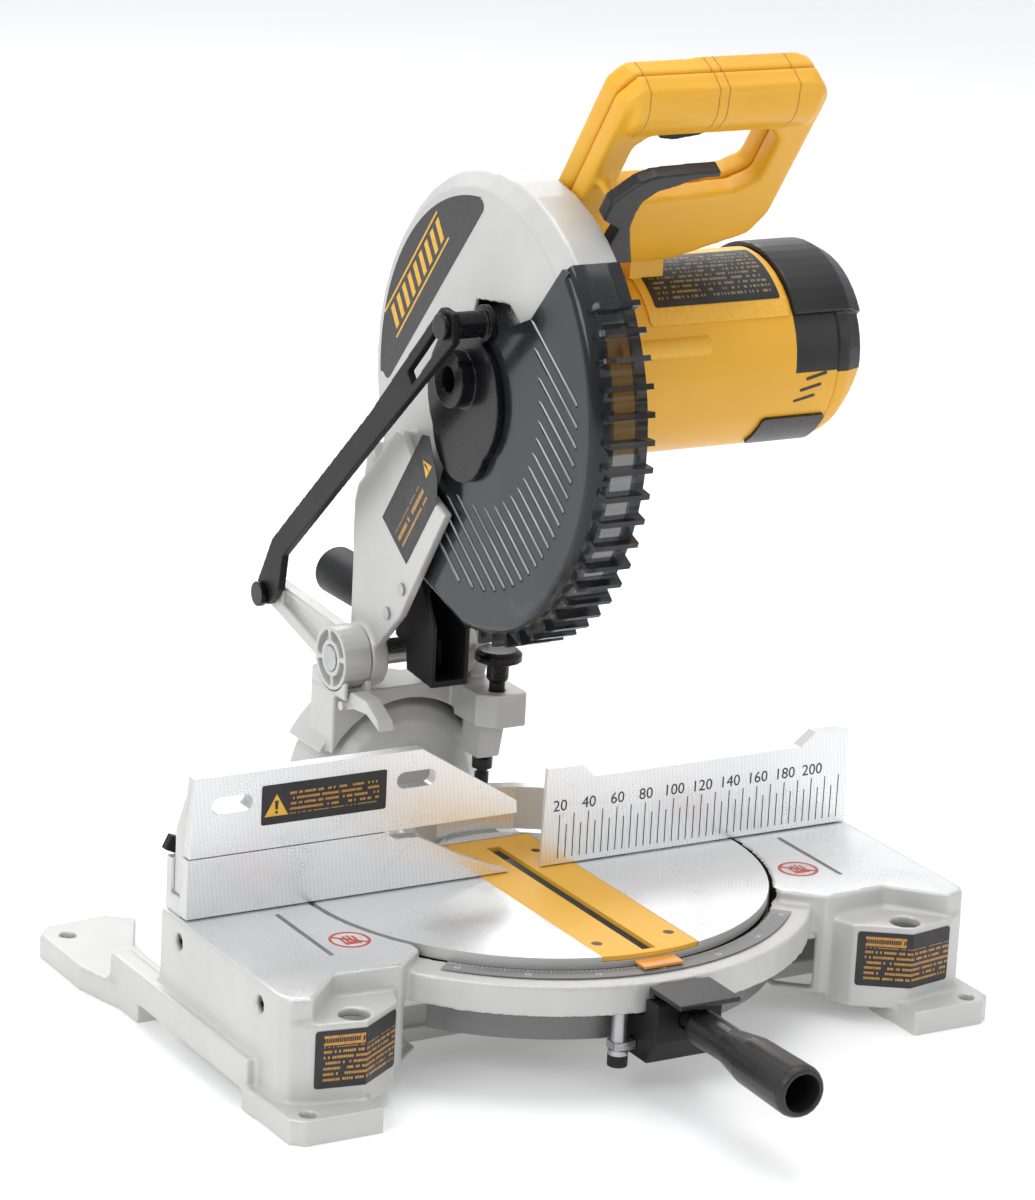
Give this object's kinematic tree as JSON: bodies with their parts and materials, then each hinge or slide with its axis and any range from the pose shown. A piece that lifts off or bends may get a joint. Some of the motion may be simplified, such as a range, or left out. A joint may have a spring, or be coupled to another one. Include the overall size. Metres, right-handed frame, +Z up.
{
  "type": "compound miter saw",
  "caption": "Bench saw with a hinged blade head that tilts and a round table that turns, for crosscuts, miters and bevels.",
  "frame": {"origin": "on the miter pivot axis, at bench level, under the middle of the table", "axes": "+X to the operator's right along the fence, +Y away from the operator, +Z up"},
  "size_m": [0.49, 0.5664, 0.5633],
  "materials": {
    "casting_paint": "satin, light grey",
    "bright_aluminium": "machined, fine straight lines",
    "steel": "turned or ground",
    "yellow_plastic": "moulded, slightly satin",
    "black_plastic": "moulded, fine grain",
    "smoked_plastic": "smoked, clear",
    "dark_plate": "dark with light marks",
    "copper": "wound and turned copper",
    "red_plastic": "clear with a red line"
  },
  "bodies": {
    "base": {"base_casting": "casting_paint", "miter_scale": "dark_plate", "detent_plate": "steel", "fence_casting": "bright_aluminium"},
    "left_fence": {"fence_slider": "bright_aluminium"},
    "fence_clamp": {"fence_clamp_lever": "black_plastic"},
    "table": {"turntable": "bright_aluminium", "kerf_plate": "yellow_plastic", "kerf_screw_1": "steel", "kerf_screw_2": "steel", "kerf_screw_3": "steel", "kerf_screw_4": "steel", "miter_pointer": "red_plastic", "pivot_bolt": "steel", "bevel_trunnion": "casting_paint", "miter_arm": "black_plastic", "arm_post": "steel"},
    "latch": {"miter_latch": "black_plastic"},
    "arm_handle": {"miter_handle": "black_plastic"},
    "yoke": {"yoke_casting": "casting_paint", "link_bracket": "casting_paint", "hinge_pin": "steel", "link_foot_pin": "black_plastic", "bevel_stop_bolt": "steel"},
    "bevel_lock": {"bevel_lock_lever": "black_plastic"},
    "plunger": {"stop_plunger": "black_plastic"},
    "crown_stop": {"crown_stop_lever": "steel"},
    "head": {"upper_guard": "casting_paint", "swing_arm": "casting_paint", "gear_case": "casting_paint", "motor_housing": "yellow_plastic", "motor_end_cap": "black_plastic", "stator_core": "steel", "motor_bearing_front": "steel", "motor_bearing_rear": "steel", "arbor_bearing": "steel", "brush_holder_1": "copper", "brush_holder_2": "copper", "handle_front": "yellow_plastic", "handle_rear": "yellow_plastic", "trigger_switch": "black_plastic", "dust_boot": "black_plastic", "dust_spout": "black_plastic", "cheek_rivet_1": "steel", "cheek_rivet_2": "steel"},
    "trigger": {"trigger": "black_plastic"},
    "guard_release": {"guard_release_lever": "black_plastic"},
    "arbor": {"arbor_shaft": "steel", "inner_flange": "steel", "outer_flange": "steel", "blade_bolt": "steel", "saw_blade": "steel", "drive_gear": "steel"},
    "armature": {"armature": "copper", "cooling_fan": "black_plastic"},
    "lower_guard": {"lower_guard": "smoked_plastic", "guard_bracket": "black_plastic", "link_top_pin": "black_plastic"},
    "guard_link": {"guard_link": "black_plastic"},
    "spindle_lock": {"spindle_lock_button": "black_plastic"}
  },
  "joints": [
    {"name": "miter_turn", "type": "hinge", "parent": "base", "child": "table", "pos_m": [0, 0, 0.022], "axis": [0, 0, -1], "range_deg": [-45, 45]},
    {"name": "left_fence_slide", "type": "slide", "parent": "base", "child": "left_fence", "axis": [1, 0, 0], "range_m": [-0.085, 0]},
    {"name": "fence_clamp_turn", "type": "hinge", "parent": "base", "child": "fence_clamp", "pos_m": [-0.19, 0.03, 0.1], "axis": [0, 1, 0], "range_deg": [0, 60]},
    {"name": "miter_latch_press", "type": "hinge", "parent": "table", "child": "latch", "pos_m": [0, -0.173, 0.063], "axis": [1, 0, 0], "range_deg": [0, 5], "stiffness_Nm_per_rad": 1, "springref_deg": -5.73},
    {"name": "miter_handle_twist", "type": "hinge", "parent": "table", "child": "arm_handle", "pos_m": [0, -0.1844, 0.05], "axis": [0, -1, 0], "range_deg": [-180, 180]},
    {"name": "bevel_tilt", "type": "hinge", "parent": "table", "child": "yoke", "pos_m": [0, 0.2, 0.076], "axis": [0, -1, 0], "range_deg": [0, 45]},
    {"name": "bevel_lock_turn", "type": "hinge", "parent": "yoke", "child": "bevel_lock", "pos_m": [0, 0.21, 0.076], "axis": [0, 1, 0], "range_deg": [0, 50]},
    {"name": "stop_plunger_press", "type": "slide", "parent": "yoke", "child": "plunger", "axis": [0, 0, 1], "range_m": [-0.005, 0], "stiffness_N_per_m": 600, "springref_m": 0.005},
    {"name": "crown_stop_turn", "type": "hinge", "parent": "yoke", "child": "crown_stop", "pos_m": [-0.043, 0.146, 0.14], "axis": [1, 0, 0], "range_deg": [0, 30]},
    {"name": "head_lower", "type": "hinge", "parent": "yoke", "child": "head", "pos_m": [0, 0.162, 0.166], "axis": [-1, 0, 0], "range_deg": [-58.5, 0], "stiffness_Nm_per_rad": 25, "springref_deg": 68.75},
    {"name": "trigger_squeeze", "type": "slide", "parent": "head", "child": "trigger", "axis": [0, -0.565, 0.8251], "range_m": [0, 0.005], "stiffness_N_per_m": 600, "springref_m": -0.003},
    {"name": "guard_release_press", "type": "hinge", "parent": "head", "child": "guard_release", "pos_m": [0.03, -0.01231, 0.47505], "axis": [0, -0.8251, -0.565], "range_deg": [-10, 0], "stiffness_Nm_per_rad": 1, "springref_deg": 11.46},
    {"name": "lower_guard_turn", "type": "hinge", "parent": "head", "child": "lower_guard", "pos_m": [0, 0.06, 0.354], "axis": [-1, 0, 0], "range_deg": [0, 127]},
    {"name": "guard_link_swing", "type": "hinge", "parent": "yoke", "child": "guard_link", "pos_m": [0, 0.257, 0.1805], "axis": [-1, 0, 0], "range_deg": [-40, 0]},
    {"name": "arbor_spin", "type": "hinge", "parent": "head", "child": "arbor", "pos_m": [0, 0.06, 0.354], "axis": [1, 0, 0], "continuous": true},
    {"name": "armature_spin", "type": "hinge", "parent": "head", "child": "armature", "pos_m": [0, 0.084, 0.364], "axis": [1, 0, 0], "continuous": true},
    {"name": "spindle_lock_press", "type": "slide", "parent": "head", "child": "spindle_lock", "axis": [0, 1, 0], "range_m": [0, 0.004], "stiffness_N_per_m": 500, "springref_m": -0.003}
  ],
  "couplings": [
    {"joint": "lower_guard_turn", "follows": "head_lower", "ratio": -2.17},
    {"joint": "guard_link_swing", "follows": "head_lower", "ratio": 0.667},
    {"joint": "armature_spin", "follows": "arbor_spin", "ratio": -4}
  ]
}
